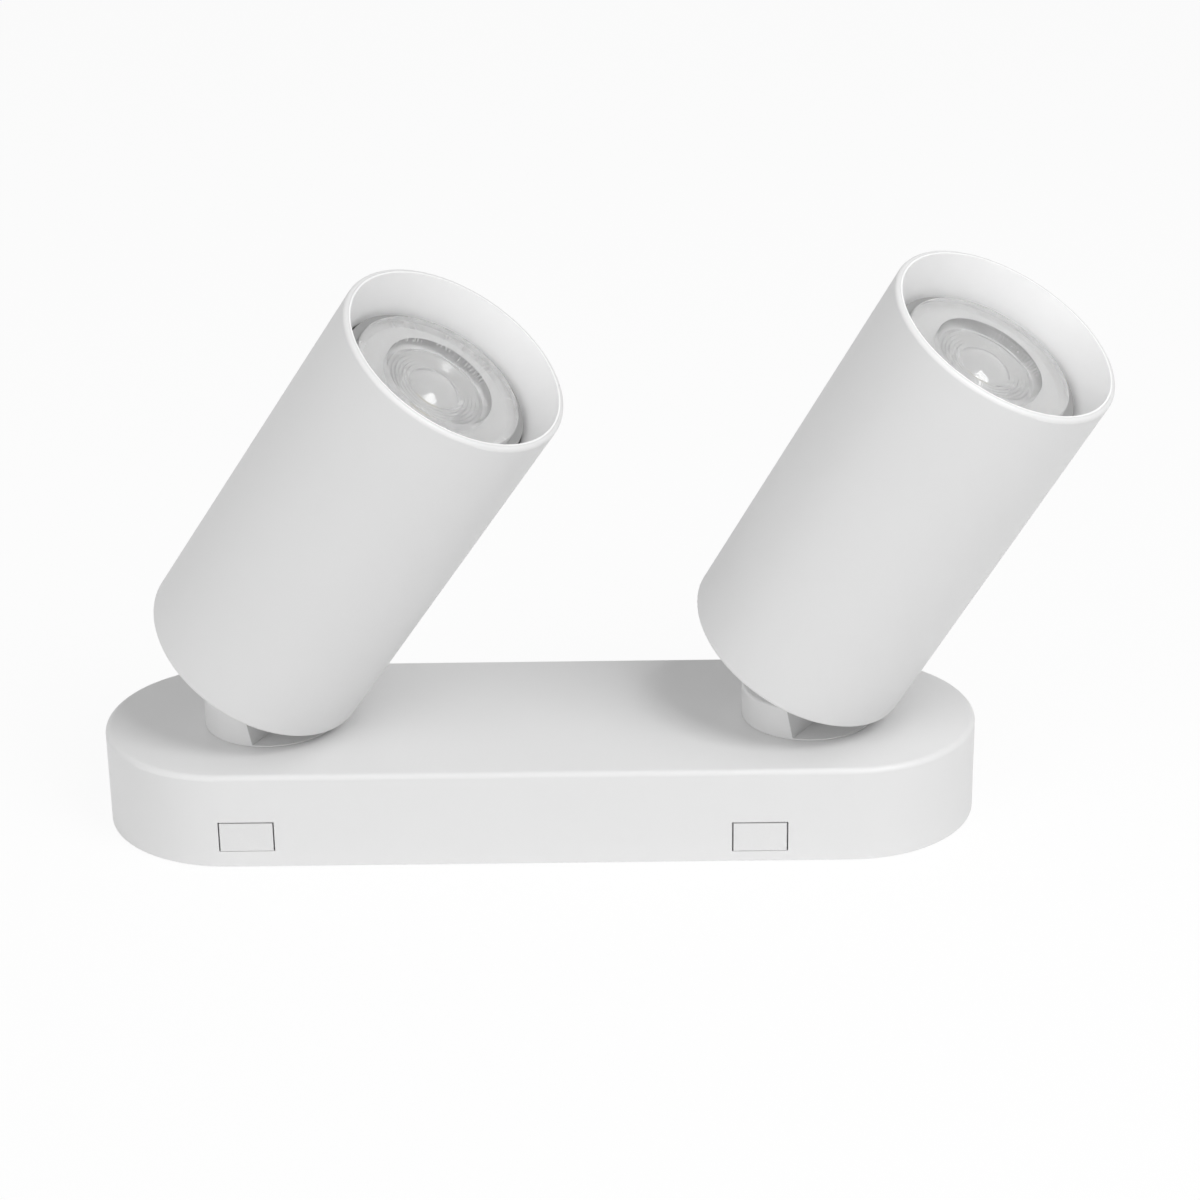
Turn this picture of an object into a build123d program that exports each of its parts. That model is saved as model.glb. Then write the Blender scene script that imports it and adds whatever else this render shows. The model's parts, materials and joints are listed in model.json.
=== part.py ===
from build123d import *
import os
from math import cos, radians, sqrt, tan

# White twin spotlight: a long round-ended base on the wall carries two lamp heads that turn and tilt.
# Sizes are in millimetres and angles in degrees. The origin is the centre of the wall face of the base,
# X runs along the base and Z points away from the wall.

# Base cover
BASE_LENGTH = 235.0
BASE_WIDTH = 70.0
BASE_HEIGHT = 26.5
BASE_WALL = 1.5
BASE_EDGE_RADIUS = 1.5
HEAD_END_INSET = 45.0

# Rest pose of each head: the side of the base, the compass angle it leans to and the lean from upright
LEFT_AZIMUTH = -28.0
LEFT_TILT = 35.0
RIGHT_AZIMUTH = -32.5
RIGHT_TILT = 30.5
TILT_LIMIT = 40.0

# Fits
MOVING_GAP = 0.1
RUNNING_CLEARANCE = 0.06
THREAD_CLEARANCE = 0.05
PRESS_CLEARANCE = 0.05
SEAT_GAP = 0.2

# Latches: pads flush in windows of both long walls, two to a wall, half a turn alike. The outer pad of a
# wall, near its end, sits higher than the inner one
LATCH_WINDOW_WIDTH = 14.8
LATCH_WINDOW_HEIGHT = 8.6
LATCH_OUTER_LIFT = 1.65
LATCH_PLATE_GAP = 0.3
LATCH_SILL_GAP = 0.15
LATCH_PAD_GAP = 0.4
LATCH_END_SETBACK = 5.4
LATCH_STAGGER = 19.0
LATCH_TRAVEL = 2.0
LATCH_FLANGE_LAP = 1.6
LATCH_FLANGE_DROP = 1.0
LATCH_FLANGE_THICKNESS = 1.5
LATCH_STEM_RADIUS = 2.0
LATCH_BARB_RADIUS = 2.6
LATCH_BARB_LENGTH = 1.2
SPRING_ROOM = 2.0
SPRING_THICKNESS = 0.4
SPRING_SPAN = 12.0
SPRING_WIDTH = 6.0
GUIDE_THICKNESS = 1.2
GUIDE_WIDTH = 12.0
GUIDE_FOOT = 6.5
GUIDE_RISE = 5.2

# Mounting plate and cable bush
PLATE_THICKNESS = 1.5
PLATE_CLEARANCE = 1.0
SLOT_SPACING = 96.0
SLOT_LENGTH = 12.0
SLOT_WIDTH = 4.8
CABLE_HOLE_X = -28.0
CABLE_BORE_RADIUS = 4.0
BUSH_BARREL_RADIUS = 6.0
BUSH_FLANGE_RADIUS = 7.6
BUSH_HEIGHT = 5.0

# Terminal block
BLOCK_X = 8.0
POLE_PITCH = 10.0
POLE_COUNT = 3
BLOCK_END = 6.0
BLOCK_DEPTH = 17.0
BLOCK_HEIGHT = 14.0
POLE_BORE_RADIUS = 1.2
POLE_BORE_HEIGHT = 5.5
CLAMP_SPACING = 9.0
CLAMP_SCREW_RADIUS = 1.8
CLAMP_SCREW_LENGTH = 4.5

# Leads
CORE_RADIUS = 0.9
CORE_PITCH = 2.4
CORE_BEND = 3.0
LEAD_STANDOFF = 5.0
LEAD_IN_POLE = 3.0
LEAD_IN_NIPPLE = 4.0

# Turning collar
COLLAR_RADIUS = 18.0
COLLAR_HEIGHT = 9.0
COLLAR_FOOT = 0.5
COLLAR_FLAT = 5.0
COLLAR_CUT_LEAN = 12.0
COLLAR_EDGE_RADIUS = 0.8
PIVOT_RISE = 25.0
TONGUE_WIDTH = 12.0
EYE_RADIUS = 7.0
WIRE_GROOVE_WIDTH = 5.2
NIPPLE_RADIUS = 5.0
NIPPLE_BORE_RADIUS = 3.5
NIPPLE_DROP = 10.0
NIPPLE_DEPTH = 7.0
NIPPLE_BOSS_WALL = 1.5
WASHER_RADIUS = 9.0
WAVE_WASHER_THICKNESS = 0.8
STOP_WASHER_THICKNESS = 1.2
STOP_TAB_REACH = 14.5
STOP_TAB_WIDTH = 4.0
STOP_PEG_RADIUS = 1.5
STOP_PEG_ORBIT = 12.5
LOCK_NUT_FLATS = 14.0
LOCK_NUT_THICKNESS = 3.5

# Head tube, measured along its axis from the tilt pivot
HEAD_RADIUS = 31.0
HEAD_LENGTH = 113.0
HEAD_WALL = 1.2
HEAD_REAR_ROUND = 1.0
HEAD_FRONT_ROUND = 1.1
PIVOT_INSET = 5.5
CAP_RECESS = 0.2
CAP_THICKNESS = 1.0
CAP_SKIRT_LENGTH = 8.0
CAP_SKIRT_WALL = 1.5
CAP_SLOT_ROUND = 2.0
SLOT_MARGIN = 0.4

# Glare ring in the mouth of the tube
GLARE_DEPTH = 12.6
GLARE_LIP = 0.45
GLARE_WALL = 1.0
GLARE_BAND = 6.0
LAMP_PASSAGE = 0.7

# Lamp
LAMP_RADIUS = 25.0
LAMP_LENGTH = 48.5
LAMP_DEPTH = 8.7
LAMP_NECK_RADIUS = 16.0
LAMP_NECK_LENGTH = 14.0
LAMP_WALL = 1.5
LAMP_RIM_HEIGHT = 4.0
LENS_RADIUS = 22.7
LENS_THICKNESS = 5.0
LENS_PROUD = 2.2
LENS_DISH_RADIUS = 14.8
LENS_DISH_DEPTH = 2.5
LENS_DOME_RADIUS = 7.0
LENS_DOME_HEIGHT = 2.5
LENS_CONE_TIP_RADIUS = 6.4
LENS_EDGE_ROUND = 0.6
BOARD_DEPTH = 19.0
BOARD_THICKNESS = 1.6
BOARD_LEDGE = 4.0
CHIP_RADIUS = 4.5
CHIP_THICKNESS = 1.0
REFLECTOR_WALL = 0.8
REFLECTOR_FLOOR_RADIUS = 13.0
PIN_ORBIT = 5.0
PIN_SHANK_RADIUS = 1.5
PIN_HEAD_RADIUS = 2.5
PIN_HEAD_LENGTH = 3.0
LAMP_TWIST = 20.0

# Lampholder and the plate and bracket that carry it
HOLDER_RADIUS = 15.5
HOLDER_LENGTH = 16.0
HOLDER_LIP = 3.0
HOLDER_CHAMBER_DEPTH = 5.0
HOLDER_CHAMBER_MARGIN = 0.4
HOLDER_SCREW_ORBIT = 11.2
HOLDER_SCREW_SINK = 4.0
CARRIER_THICKNESS = 1.5
CARRIER_SKIRT = 5.5
BRACKET_THICKNESS = 1.5
BRACKET_WIDTH = 11.0
BRACKET_FOOT = 18.0
BRACKET_SCREW_X = 13.0
WIRE_HOLE_RADIUS = 4.0

# Screws: shank, head and bolt sizes
SCREW_RADIUS = 1.45
SCREW_HEAD_RADIUS = 2.7
SCREW_HEAD_HEIGHT = 2.0
DRIVER_SLOT_WIDTH = 0.8
DRIVER_SLOT_DEPTH = 0.8
PIVOT_BOLT_RADIUS = 2.0
PIVOT_HEAD_RADIUS = 3.5
PIVOT_HEAD_HEIGHT = 2.4
PIVOT_NUT_FLATS = 7.0
PIVOT_NUT_THICKNESS = 3.2
BOLT_OVERHANG = 0.6

# Places that follow from the sizes above, in the base's own frame
CEILING = BASE_HEIGHT - BASE_WALL
LATCH_SILL = PLATE_THICKNESS + LATCH_PLATE_GAP + LATCH_FLANGE_DROP
LATCH_INNER_Z = LATCH_SILL + LATCH_WINDOW_HEIGHT / 2
LATCH_OUTER_Z = LATCH_INNER_Z + LATCH_OUTER_LIFT
STRAIGHT_HALF = (BASE_LENGTH - BASE_WIDTH) / 2
LATCH_OUTER_X = STRAIGHT_HALF - LATCH_END_SETBACK
LATCH_INNER_X = LATCH_OUTER_X - LATCH_STAGGER
FLANGE_FRONT = BASE_WALL + LATCH_PAD_GAP
FLANGE_BACK = FLANGE_FRONT + LATCH_FLANGE_THICKNESS
GUIDE_FRONT = FLANGE_BACK + LATCH_TRAVEL + SPRING_ROOM
GUIDE_BACK = GUIDE_FRONT + GUIDE_THICKNESS
POLE_BORE_Z = PLATE_THICKNESS + POLE_BORE_HEIGHT

# Places along the head's axis, from the tilt pivot
HEAD_REAR = -PIVOT_INSET
HEAD_FRONT = HEAD_LENGTH - PIVOT_INSET
HEAD_BORE = HEAD_RADIUS - HEAD_WALL
GLARE_EDGE = HEAD_FRONT - GLARE_DEPTH
GLARE_MOUTH_RADIUS = LAMP_RADIUS + LAMP_PASSAGE
LAMP_FACE = HEAD_FRONT - LAMP_DEPTH
LAMP_BASE = LAMP_FACE - LAMP_LENGTH
LENS_SEAT = LAMP_FACE - LENS_THICKNESS
REFLECTOR_SEAT = LENS_SEAT - REFLECTOR_WALL
LAMP_RIM_TOP = LAMP_FACE - LENS_PROUD
LAMP_RIM_FOOT = LAMP_RIM_TOP - LAMP_RIM_HEIGHT
LAMP_NECK_TOP = LAMP_BASE + LAMP_NECK_LENGTH
LAMP_FLARE = (LAMP_RADIUS - LAMP_NECK_RADIUS) / (LAMP_RIM_FOOT - LAMP_NECK_TOP)
BOARD_SEAT = LAMP_FACE - BOARD_DEPTH
BOARD_TOP = BOARD_SEAT + BOARD_THICKNESS
BOARD_BED_RADIUS = LAMP_NECK_RADIUS + LAMP_FLARE * (BOARD_SEAT - LAMP_NECK_TOP) - LAMP_WALL
CHIP_TOP = BOARD_TOP + CHIP_THICKNESS
HOLDER_FRONT = LAMP_BASE - SEAT_GAP
HOLDER_REAR = HOLDER_FRONT - HOLDER_LENGTH
CARRIER_REAR = HOLDER_REAR - CARRIER_THICKNESS
BRACKET_REAR = CARRIER_REAR - BRACKET_THICKNESS
EAR_INNER = TONGUE_WIDTH / 2 + MOVING_GAP
EAR_OUTER = EAR_INNER + BRACKET_THICKNESS
CAP_OUTER_FACE = HEAD_REAR + CAP_RECESS
CAP_INNER_FACE = CAP_OUTER_FACE + CAP_THICKNESS


def disc(radius, bottom, top):
    """A round bar along Z between two heights."""
    return Pos(0, 0, bottom) * extrude(Circle(radius), top - bottom)


def ring(outer_radius, inner_radius, bottom, top):
    """A round tube along Z between two heights."""
    return disc(outer_radius, bottom, top) - disc(inner_radius, bottom, top)


def block(x, y, z):
    """A box between the two ends given for each axis."""
    size = [end - start for start, end in (x, y, z)]
    middle = [(start + end) / 2 for start, end in (x, y, z)]
    return Pos(*middle) * Box(*size)


def turned(points):
    """A solid turned about Z from points given as radius and height."""
    outline = Polyline(*[(radius, 0, height) for radius, height in points], close=True)
    return revolve(make_face(outline), Axis.Z)


def hex_nut(flats, bore_radius, bottom, top):
    """A hexagonal nut along Z with two corners on the X axis."""
    outline = RegularPolygon(flats / sqrt(3), 6) - Circle(bore_radius)
    return Pos(0, 0, bottom) * extrude(outline, top - bottom)


def screw(shank_radius, head_radius, head_height, length):
    """A slotted screw along Z, its head above Z = 0 and its shank below."""
    body = disc(head_radius, 0, head_height) + disc(shank_radius, -length, 0)
    slot_floor = head_height - DRIVER_SLOT_DEPTH
    half = DRIVER_SLOT_WIDTH / 2
    return body - block((-head_radius, head_radius), (-half, half), (slot_floor, head_height))


def core(points):
    """An insulated wire through the points, with round bends."""
    path = FilletPolyline(*points, radius=CORE_BEND)
    return sweep(Plane(path @ 0, z_dir=path % 0) * Circle(CORE_RADIUS), path)


def group(solids):
    """Several like pieces as one node."""
    return Compound(children=list(solids))


# Base

LATCH_PLACES = {
    "front_left": Pos(-LATCH_OUTER_X, -BASE_WIDTH / 2, LATCH_OUTER_Z),
    "front_right": Pos(LATCH_INNER_X, -BASE_WIDTH / 2, LATCH_INNER_Z),
    "rear_right": Rot(0, 0, 180) * Pos(-LATCH_OUTER_X, -BASE_WIDTH / 2, LATCH_OUTER_Z),
    "rear_left": Rot(0, 0, 180) * Pos(LATCH_INNER_X, -BASE_WIDTH / 2, LATCH_INNER_Z),
}
SWIVEL_REACH = BASE_LENGTH / 2 - HEAD_END_INSET
SWIVEL_X = {"left": -SWIVEL_REACH, "right": SWIVEL_REACH}
OUTWARD = {"left": -1, "right": 1}


def base_cover():
    """The shell, open to the wall, with a stop peg beside each swivel hole."""
    outer = extrude(SlotOverall(BASE_LENGTH, BASE_WIDTH), BASE_HEIGHT)
    outer = fillet(outer.edges().group_by(Axis.Z)[-1], BASE_EDGE_RADIUS)
    inner = SlotOverall(BASE_LENGTH - 2 * BASE_WALL, BASE_WIDTH - 2 * BASE_WALL)
    shell = outer - extrude(inner, CEILING)
    window_x = (-LATCH_WINDOW_WIDTH / 2, LATCH_WINDOW_WIDTH / 2)
    window_z = (-LATCH_WINDOW_HEIGHT / 2, LATCH_WINDOW_HEIGHT / 2)
    for place in LATCH_PLACES.values():
        shell -= place * block(window_x, (-BASE_WALL, 2 * BASE_WALL), window_z)
    peg_drop = MOVING_GAP + WAVE_WASHER_THICKNESS + STOP_WASHER_THICKNESS + SEAT_GAP
    for side, x in SWIVEL_X.items():
        shell -= Pos(x, 0, 0) * disc(NIPPLE_RADIUS + MOVING_GAP, CEILING, BASE_HEIGHT)
        peg_x = x + OUTWARD[side] * STOP_PEG_ORBIT
        shell += Pos(peg_x, 0, 0) * disc(STOP_PEG_RADIUS, CEILING - peg_drop, CEILING)
    return shell


def latch_pad():
    """A pad with a flange behind the wall and a barbed stem. Y = 0 is the outer face, +Y is inward."""
    half_x = LATCH_WINDOW_WIDTH / 2 - LATCH_PAD_GAP
    pad_z = (-LATCH_WINDOW_HEIGHT / 2 + LATCH_SILL_GAP, LATCH_WINDOW_HEIGHT / 2 - LATCH_PAD_GAP)
    flange_x = LATCH_WINDOW_WIDTH / 2 + LATCH_FLANGE_LAP
    flange_z = LATCH_WINDOW_HEIGHT / 2 + LATCH_FLANGE_DROP
    pad = block((-half_x, half_x), (0, FLANGE_FRONT), pad_z)
    flange = block((-flange_x, flange_x), (FLANGE_FRONT, FLANGE_BACK), (-flange_z, flange_z))
    barb_start = GUIDE_BACK + SEAT_GAP
    barb_end = barb_start + LATCH_BARB_LENGTH
    stem = disc(LATCH_STEM_RADIUS, FLANGE_BACK, barb_end) + disc(LATCH_BARB_RADIUS, barb_start, barb_end)
    return pad + flange + Rot(-90, 0, 0) * stem


def latch_spring():
    """A bowed leaf between the flange and the guide, with a hole for the stem."""
    crown = FLANGE_BACK + PRESS_CLEARANCE
    heel = GUIDE_FRONT - PRESS_CLEARANCE
    half = SPRING_SPAN / 2
    inner_half = half - SPRING_THICKNESS
    inner_crown = crown + SPRING_THICKNESS
    outline = [
        ThreePointArc((-half, heel), (0, crown), (half, heel)),
        Line((half, heel), (inner_half, heel)),
        ThreePointArc((inner_half, heel), (0, inner_crown), (-inner_half, heel)),
        Line((-inner_half, heel), (-half, heel)),
    ]
    leaf = extrude(make_face(outline), SPRING_WIDTH / 2, both=True)
    return leaf - Rot(-90, 0, 0) * disc(LATCH_STEM_RADIUS + SEAT_GAP, 0, GUIDE_FRONT)


def latch_guide(height):
    """An angle piece on the plate whose upright guides a stem at a height above the wall."""
    foot_z = PLATE_THICKNESS - height
    half = GUIDE_WIDTH / 2
    upright = block((-half, half), (GUIDE_FRONT, GUIDE_BACK), (foot_z, GUIDE_RISE))
    foot = block((-half, half), (GUIDE_BACK, GUIDE_BACK + GUIDE_FOOT), (foot_z, foot_z + GUIDE_THICKNESS))
    stem_hole = disc(LATCH_STEM_RADIUS + RUNNING_CLEARANCE, GUIDE_FRONT, GUIDE_BACK)
    return upright + foot - Rot(-90, 0, 0) * stem_hole


def block_screw_places():
    """Between the poles of the terminal block."""
    return [Pos(BLOCK_X + side * POLE_PITCH / 2, 0, 0) for side in (-1, 1)]


def mounting_plate():
    """The plate that is screwed to the wall inside the cover."""
    margin = 2 * (BASE_WALL + PLATE_CLEARANCE)
    plate = SlotOverall(BASE_LENGTH - margin, BASE_WIDTH - margin)
    for side in (-1, 1):
        plate -= Pos(side * SLOT_SPACING / 2, 0) * SlotOverall(SLOT_LENGTH, SLOT_WIDTH)
    plate -= Pos(CABLE_HOLE_X, 0) * Circle(BUSH_BARREL_RADIUS + PRESS_CLEARANCE)
    for place in block_screw_places():
        plate -= place * Circle(SCREW_RADIUS + THREAD_CLEARANCE)
    return extrude(plate, PLATE_THICKNESS)


def cable_bush():
    """A soft bush in the cable hole, with a flange inside the base."""
    flange = disc(BUSH_FLANGE_RADIUS, PLATE_THICKNESS, 2 * PLATE_THICKNESS)
    body = disc(BUSH_BARREL_RADIUS, 0, BUSH_HEIGHT) + flange
    return Pos(CABLE_HOLE_X, 0, 0) * (body - disc(CABLE_BORE_RADIUS, 0, BUSH_HEIGHT))


def pole_offsets():
    """X of each pole from the middle of the terminal block."""
    middle = (POLE_COUNT - 1) / 2
    return [(pole - middle) * POLE_PITCH for pole in range(POLE_COUNT)]


def clamp_places():
    """The foot of each clamp screw, on the top of its pole bore."""
    foot = POLE_BORE_Z + POLE_BORE_RADIUS
    rows = (-CLAMP_SPACING / 2, CLAMP_SPACING / 2)
    return [Pos(BLOCK_X + x, y, foot) for x in pole_offsets() for y in rows]


def terminal_block():
    """The block with a wire bore per pole, clamp screw wells and two fixing holes."""
    half_x = POLE_PITCH * (POLE_COUNT - 1) / 2 + BLOCK_END
    half_y = BLOCK_DEPTH / 2
    top = PLATE_THICKNESS + BLOCK_HEIGHT
    body = Pos(BLOCK_X, 0, 0) * block((-half_x, half_x), (-half_y, half_y), (PLATE_THICKNESS, top))
    for x in pole_offsets():
        bore = Rot(-90, 0, 0) * disc(POLE_BORE_RADIUS, -half_y, half_y)
        body -= Pos(BLOCK_X + x, 0, POLE_BORE_Z) * bore
    for place in clamp_places():
        body -= place * disc(CLAMP_SCREW_RADIUS + THREAD_CLEARANCE, -POLE_BORE_RADIUS, BLOCK_HEIGHT)
    for place in block_screw_places():
        body -= place * disc(SCREW_RADIUS + SEAT_GAP, 0, top)
        body -= place * disc(SCREW_HEAD_RADIUS + SEAT_GAP, top - SCREW_HEAD_HEIGHT, top)
    return body


def clamp_screws():
    """Slotted clamp screws standing on the wires."""
    head = CLAMP_SCREW_LENGTH / 2
    stud = screw(CLAMP_SCREW_RADIUS, CLAMP_SCREW_RADIUS, head, head)
    return group(place * Pos(0, 0, head) * stud for place in clamp_places())


def block_screws():
    """The two screws that hold the terminal block on the plate."""
    seat = PLATE_THICKNESS + BLOCK_HEIGHT - SCREW_HEAD_HEIGHT
    fixing = screw(SCREW_RADIUS, SCREW_HEAD_RADIUS, SCREW_HEAD_HEIGHT, seat - SEAT_GAP)
    return group(place * Pos(0, 0, seat) * fixing for place in block_screw_places())


def supply_leads(side):
    """Two cores from the first two poles, along the base and up into the nipple of one head."""
    outward = OUTWARD[side]
    poles = pole_offsets()[:2]
    near_first = poles if outward < 0 else poles[::-1]
    cores = []
    for run, pole in enumerate(near_first):
        x = BLOCK_X + pole
        end_x = SWIVEL_X[side] + outward * (run - 0.5) * CORE_PITCH
        inside_y = BLOCK_DEPTH / 2 - LEAD_IN_POLE
        run_y = BLOCK_DEPTH / 2 + LEAD_STANDOFF + run * CORE_PITCH
        top = BASE_HEIGHT + LEAD_IN_NIPPLE
        cores.append(core([
            (x, -outward * inside_y, POLE_BORE_Z),
            (x, -outward * run_y, POLE_BORE_Z),
            (end_x, -outward * run_y, POLE_BORE_Z),
            (end_x, 0, POLE_BORE_Z),
            (end_x, 0, top),
        ]))
    return group(cores)


# Turning collar, with Z = 0 on the top of the base, the swivel along Z and the head leaning to +X

def swivel_collar():
    """A thin round foot, a body cut off on the leaning side, and a tongue with the pivot eye."""
    body = disc(COLLAR_RADIUS, MOVING_GAP, COLLAR_HEIGHT)
    reach = 2 * COLLAR_RADIUS
    leaning_side = block((0, reach), (-reach, reach), (-reach, reach))
    leaning_side = Pos(COLLAR_FLAT, 0, COLLAR_FOOT) * Rot(0, -COLLAR_CUT_LEAN, 0) * leaning_side
    body -= leaning_side & disc(reach, COLLAR_FOOT, COLLAR_HEIGHT)
    body = fillet(body.edges().group_by(Axis.Z)[-1], COLLAR_EDGE_RADIUS)
    boss = disc(NIPPLE_RADIUS + NIPPLE_BOSS_WALL, MOVING_GAP, NIPPLE_DEPTH + NIPPLE_BOSS_WALL)
    half = TONGUE_WIDTH / 2
    eye = Pos(0, 0, PIVOT_RISE) * Rot(-90, 0, 0) * disc(EYE_RADIUS, -half, half)
    tongue = block((-EYE_RADIUS, COLLAR_FLAT), (-half, half), (COLLAR_FOOT, PIVOT_RISE))
    pivot_bore = disc(PIVOT_BOLT_RADIUS + RUNNING_CLEARANCE, -half, half)
    groove_half = WIRE_GROOVE_WIDTH / 2
    groove_top = PIVOT_RISE - EYE_RADIUS - PIVOT_BOLT_RADIUS
    groove = block((-reach, 0), (-groove_half, groove_half), (COLLAR_HEIGHT, groove_top))
    wire_bore = disc(groove_half, 0, groove_top)
    thread = disc(NIPPLE_RADIUS + THREAD_CLEARANCE, 0, NIPPLE_DEPTH + THREAD_CLEARANCE)
    collar = body + boss + eye + tongue - groove - wire_bore - thread
    return collar - Pos(0, 0, PIVOT_RISE) * Rot(-90, 0, 0) * pivot_bore


def swivel_nipple():
    """The hollow threaded stem that carries the wires through the cover."""
    return ring(NIPPLE_RADIUS, NIPPLE_BORE_RADIUS, -NIPPLE_DROP, NIPPLE_DEPTH)


WAVE_TOP = -BASE_WALL - MOVING_GAP
STOP_TOP = WAVE_TOP - WAVE_WASHER_THICKNESS
NUT_TOP = STOP_TOP - STOP_WASHER_THICKNESS


def wave_washer():
    """The washer that rubs on the inside of the cover."""
    return ring(WASHER_RADIUS, NIPPLE_RADIUS + THREAD_CLEARANCE, STOP_TOP, WAVE_TOP)


def stop_washer():
    """A washer with a tab that meets the stop peg at either end of the swing."""
    half = STOP_TAB_WIDTH / 2
    tab = block((-STOP_TAB_REACH, 0), (-half, half), (NUT_TOP, STOP_TOP))
    bore = disc(NIPPLE_RADIUS + THREAD_CLEARANCE, NUT_TOP, STOP_TOP)
    return disc(WASHER_RADIUS, NUT_TOP, STOP_TOP) + tab - bore


def lock_nut():
    """The nut that clamps the washers on the nipple."""
    return hex_nut(LOCK_NUT_FLATS, NIPPLE_RADIUS + THREAD_CLEARANCE, NUT_TOP - LOCK_NUT_THICKNESS, NUT_TOP)


# Head, with the pivot at the origin along Y, the tube along Z and the leaning side at +X

def head_tube():
    """The outer tube, its rear edge rounder than its mouth."""
    bar = disc(HEAD_RADIUS, HEAD_REAR, HEAD_FRONT)
    bar = fillet(bar.edges().group_by(Axis.Z)[0], HEAD_REAR_ROUND)
    bar = fillet(bar.edges().group_by(Axis.Z)[-1], HEAD_FRONT_ROUND)
    return bar - disc(HEAD_BORE, HEAD_REAR, HEAD_FRONT)


def rear_cap():
    """A skirted disc that closes the rear of the tube, slotted for the swing of the tongue."""
    outside = HEAD_BORE - PRESS_CLEARANCE
    plate = disc(outside, CAP_OUTER_FACE, CAP_INNER_FACE)
    skirt = ring(outside, outside - CAP_SKIRT_WALL, CAP_INNER_FACE, CAP_INNER_FACE + CAP_SKIRT_LENGTH)
    lean = radians(TILT_LIMIT)
    swing_reach = COLLAR_FLAT / cos(lean) - CAP_OUTER_FACE * tan(lean)
    slot_end = max(EYE_RADIUS, swing_reach) + SLOT_MARGIN
    slot_start = -EYE_RADIUS - SLOT_MARGIN
    width = 2 * (EAR_OUTER + SEAT_GAP)
    slot = RectangleRounded(slot_end - slot_start, width, CAP_SLOT_ROUND)
    opening = Pos((slot_start + slot_end) / 2, 0, CAP_OUTER_FACE) * extrude(slot, CAP_THICKNESS)
    return plate + skirt - opening


def glare_ring():
    """A thin flared ring from the tube's mouth down to the lamp, with a band pressed into the tube."""
    outside = HEAD_BORE - PRESS_CLEARANCE
    lip = outside - GLARE_LIP
    flare = (lip - GLARE_MOUTH_RADIUS) / GLARE_DEPTH
    band_end = HEAD_FRONT - GLARE_BAND
    band_radius = GLARE_MOUTH_RADIUS + flare * (GLARE_DEPTH - GLARE_BAND) + GLARE_WALL
    return turned([
        (outside, HEAD_FRONT),
        (lip, HEAD_FRONT),
        (GLARE_MOUTH_RADIUS, GLARE_EDGE),
        (GLARE_MOUTH_RADIUS + GLARE_WALL, GLARE_EDGE),
        (band_radius, band_end),
        (outside, band_end),
    ])


def lamp_housing():
    """The lamp's cup: a neck with a floor, ledges for the board and the reflector, a rim round the lens."""
    seat_radius = LENS_RADIUS + PRESS_CLEARANCE
    neck_bore = LAMP_NECK_RADIUS - LAMP_WALL
    floor = LAMP_BASE + 2 * LAMP_WALL
    return turned([
        (0, LAMP_BASE),
        (LAMP_NECK_RADIUS, LAMP_BASE),
        (LAMP_NECK_RADIUS, LAMP_NECK_TOP),
        (LAMP_RADIUS, LAMP_RIM_FOOT),
        (LAMP_RADIUS, LAMP_RIM_TOP),
        (seat_radius, LAMP_RIM_TOP),
        (seat_radius, REFLECTOR_SEAT),
        (seat_radius - LAMP_WALL, REFLECTOR_SEAT),
        (BOARD_BED_RADIUS, BOARD_SEAT),
        (BOARD_BED_RADIUS - BOARD_LEDGE, BOARD_SEAT),
        (neck_bore, LAMP_NECK_TOP),
        (neck_bore, floor),
        (0, floor),
    ])


def lamp_lens():
    """A clear front plate with a dished, domed centre and a collimator cone down to the chip."""
    plate = disc(LENS_RADIUS, LENS_SEAT, LAMP_FACE)
    plate = fillet(plate.edges().group_by(Axis.Z)[-1], LENS_EDGE_ROUND)
    plate -= disc(LENS_DISH_RADIUS, LAMP_FACE - LENS_DISH_DEPTH, LAMP_FACE)
    dish_floor = LAMP_FACE - LENS_DISH_DEPTH
    ball_radius = (LENS_DOME_RADIUS**2 + LENS_DOME_HEIGHT**2) / (2 * LENS_DOME_HEIGHT)
    ball = Pos(0, 0, dish_floor + LENS_DOME_HEIGHT - ball_radius) * Sphere(ball_radius)
    dome = ball & disc(LENS_DOME_RADIUS, dish_floor, LAMP_FACE + LENS_DOME_HEIGHT)
    tip = CHIP_TOP + SEAT_GAP
    cone = turned([(0, tip), (LENS_CONE_TIP_RADIUS, tip), (LENS_DISH_RADIUS, LENS_SEAT), (0, LENS_SEAT)])
    return plate + dome + cone


def led_board():
    """The round board on its ledge in the lamp."""
    return disc(BOARD_BED_RADIUS - SEAT_GAP, BOARD_SEAT, BOARD_TOP)


def led_chip():
    """The light-emitting chip in the middle of the board."""
    return disc(CHIP_RADIUS, BOARD_TOP, CHIP_TOP)


def lamp_reflector():
    """A white bowl on the board, open round the chip, with a flange that carries the lens."""
    hole = LENS_CONE_TIP_RADIUS + SEAT_GAP
    floor = BOARD_TOP + REFLECTOR_WALL
    rim = LENS_RADIUS - LAMP_WALL - SEAT_GAP
    return turned([
        (hole, BOARD_TOP),
        (REFLECTOR_FLOOR_RADIUS + REFLECTOR_WALL, BOARD_TOP),
        (rim, REFLECTOR_SEAT),
        (LENS_RADIUS, REFLECTOR_SEAT),
        (LENS_RADIUS, LENS_SEAT),
        (rim - REFLECTOR_WALL, LENS_SEAT),
        (REFLECTOR_FLOOR_RADIUS, floor),
        (hole, floor),
    ])


def lamp_pins():
    """Two headed contact pins under the lamp's neck."""
    lip_rear = HOLDER_FRONT - HOLDER_LIP
    head_front = lip_rear - SEAT_GAP
    pin = disc(PIN_SHANK_RADIUS, head_front, LAMP_BASE)
    pin += disc(PIN_HEAD_RADIUS, head_front - PIN_HEAD_LENGTH, head_front)
    return group(Pos(side * PIN_ORBIT, 0, 0) * pin for side in (-1, 1))


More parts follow.
